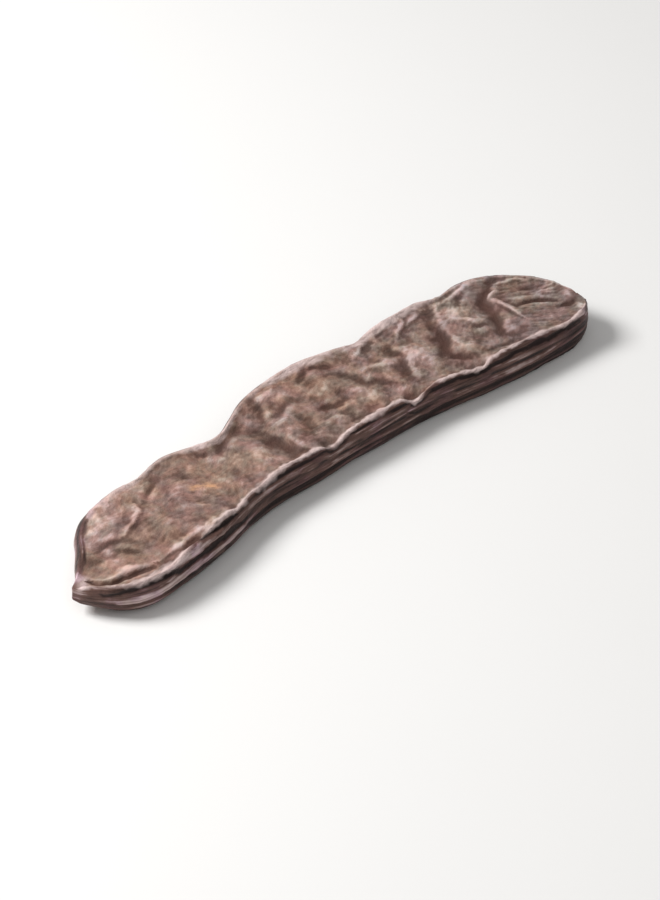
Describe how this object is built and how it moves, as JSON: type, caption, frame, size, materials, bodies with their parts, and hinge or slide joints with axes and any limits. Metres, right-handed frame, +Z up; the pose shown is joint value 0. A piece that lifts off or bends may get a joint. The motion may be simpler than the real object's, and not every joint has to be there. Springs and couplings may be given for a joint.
{
  "type": "carob pod",
  "caption": "Dried carob pod: a flat, gently curved dark brown seed pod with raised pale rims, wrinkled sunken faces, grooved margins and a stalk scar, lying on one face.",
  "frame": {"origin": "centre of the pod's box, on the surface it lies on", "axes": "+X along the pod from the blossom tip to the stalk scar, +Y across it to the bulging margin, +Z up from the face it lies on to the other broad face"},
  "size_m": [0.1562, 0.04, 0.0095],
  "materials": {
    "pod_hull": "dry leathery hull, dark brown and satin, dusty pale along the rims and folds, nearly black in the grooves"
  },
  "bodies": {
    "root": {"carob_pod": "pod_hull"}
  },
  "joints": []
}
